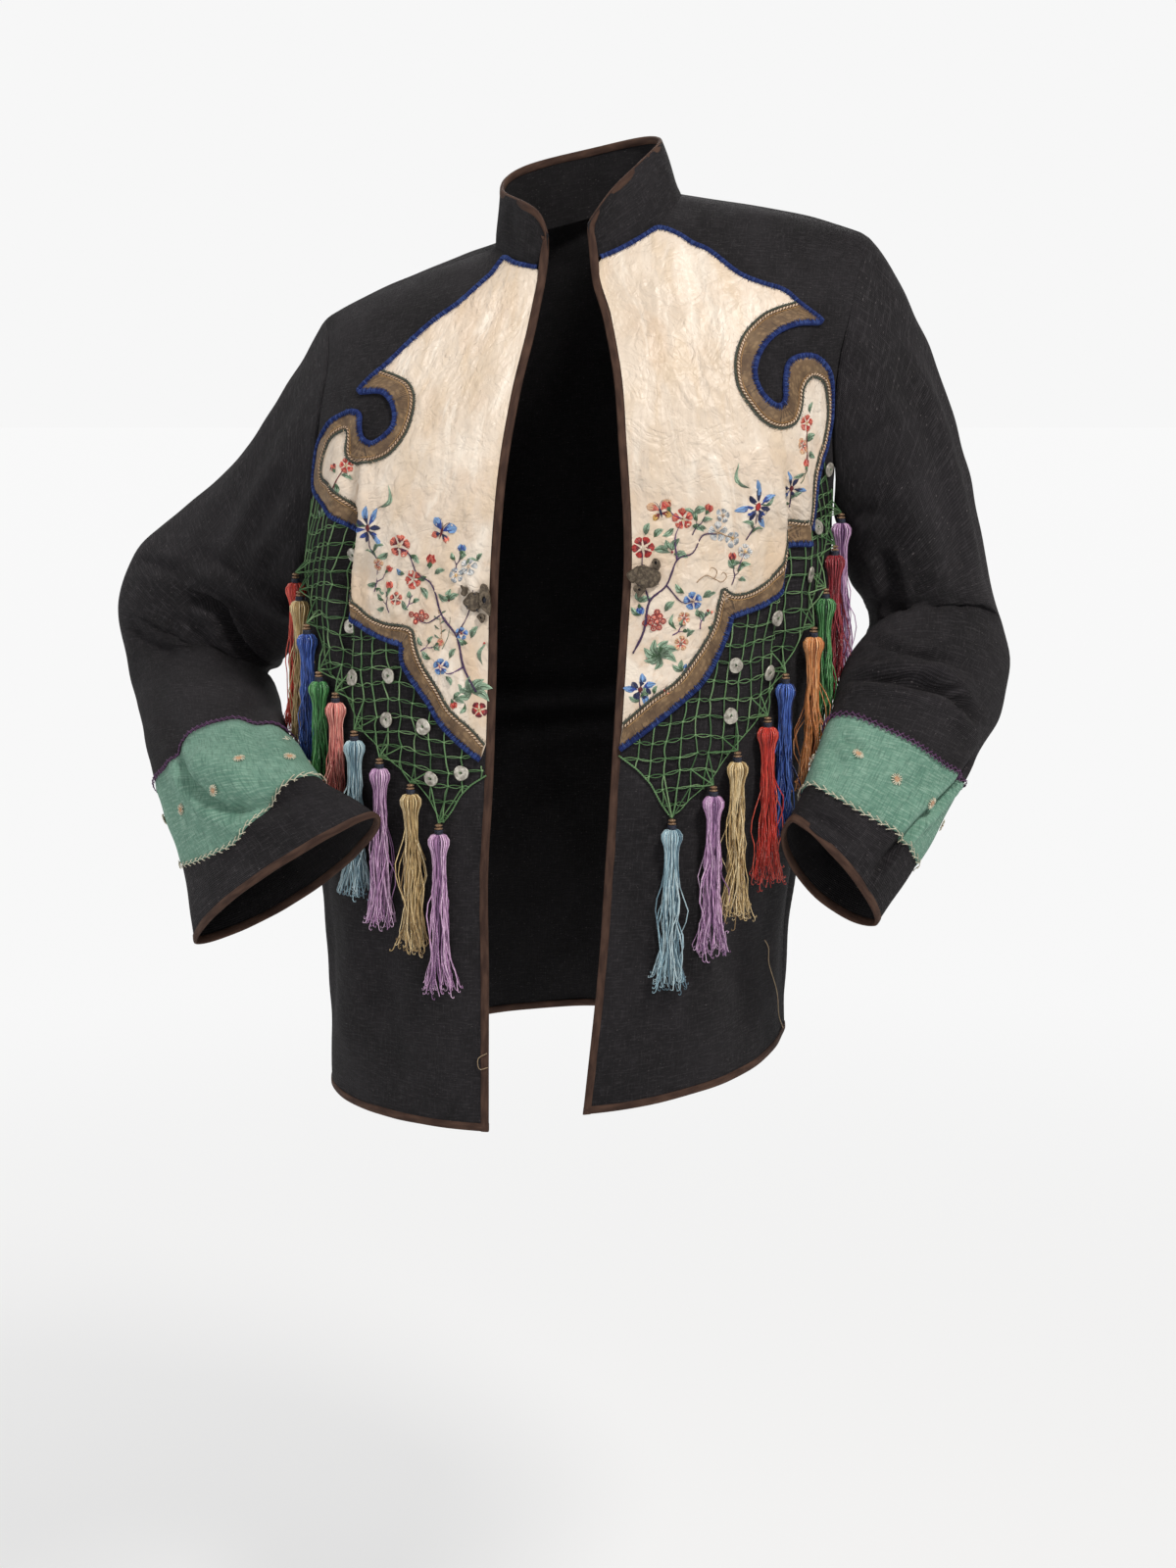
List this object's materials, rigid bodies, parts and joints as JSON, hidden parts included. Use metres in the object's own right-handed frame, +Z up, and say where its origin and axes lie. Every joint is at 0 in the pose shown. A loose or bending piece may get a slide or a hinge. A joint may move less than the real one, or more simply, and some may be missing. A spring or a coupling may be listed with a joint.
{
  "type": "embroidered jacket",
  "caption": "Open-fronted stand-collar jacket with bent sleeves, cloud-shaped satin yoke panels, knotted net edging, hanging tassels, cuff bands and a small clasp.",
  "frame": {"origin": "where the garment rests on the wearer: between the shoulders at the foot of the neck, in the middle of the neck opening", "axes": "+Z up, -Y to the front, +X to the wearer's left"},
  "size_m": [0.7228, 0.3268, 0.744],
  "materials": {
    "body_cloth": "dark charcoal twill, matt",
    "band_linen": "teal linen weave with sewn rosettes",
    "binding": "brown bias binding",
    "yoke_satin": "aged ivory satin with coloured embroidery",
    "ribbon": "bronze ribbon with couched edges",
    "piping": "blue corded piping",
    "net": "green knotted silk net",
    "clasp_metal": "dark cast pewter",
    "tassel_lilac": "silk floss",
    "tassel_gold": "silk floss",
    "tassel_sky": "silk floss",
    "tassel_pink": "silk floss",
    "tassel_green": "silk floss",
    "tassel_blue": "silk floss",
    "tassel_red": "silk floss",
    "tassel_orange": "silk floss",
    "tassel_wine": "silk floss"
  },
  "bodies": {
    "root": {"back": "body_cloth", "front_right": "body_cloth", "front_left": "body_cloth", "sleeve_right_outer_upper": "body_cloth", "sleeve_right_outer_lower": "body_cloth", "sleeve_right_inner_upper": "body_cloth", "sleeve_right_inner_lower": "body_cloth", "sleeve_left_outer_upper": "body_cloth", "sleeve_left_outer_lower": "body_cloth", "sleeve_left_inner_upper": "body_cloth", "sleeve_left_inner_lower": "body_cloth", "sleeve_band_right": "band_linen", "sleeve_band_left": "band_linen", "cuff_binding_right": "binding", "cuff_binding_left": "binding", "collar": "body_cloth", "collar_binding": "binding", "front_binding_right": "binding", "front_binding_left": "binding", "hem_binding_right": "binding", "hem_binding_left": "binding", "hem_binding_back": "binding", "yoke_satin_right": "yoke_satin", "yoke_ribbon_upper_right": "ribbon", "yoke_ribbon_lower_right": "ribbon", "yoke_piping_upper_right": "piping", "yoke_piping_lower_right": "piping", "net_right": "net", "tassel_right_1": "tassel_lilac", "tassel_right_2": "tassel_gold", "tassel_right_3": "tassel_lilac", "tassel_right_4": "tassel_sky", "tassel_right_5": "tassel_pink", "tassel_right_6": "tassel_green", "tassel_right_7": "tassel_blue", "tassel_right_8": "tassel_gold", "tassel_right_9": "tassel_red", "clasp_right": "clasp_metal", "yoke_satin_left": "yoke_satin", "yoke_ribbon_upper_left": "ribbon", "yoke_ribbon_lower_left": "ribbon", "yoke_piping_upper_left": "piping", "yoke_piping_lower_left": "piping", "net_left": "net", "tassel_left_1": "tassel_sky", "tassel_left_2": "tassel_lilac", "tassel_left_3": "tassel_gold", "tassel_left_4": "tassel_red", "tassel_left_5": "tassel_blue", "tassel_left_6": "tassel_orange", "tassel_left_7": "tassel_green", "tassel_left_8": "tassel_wine", "tassel_left_9": "tassel_lilac", "clasp_left": "clasp_metal"}
  },
  "joints": []
}
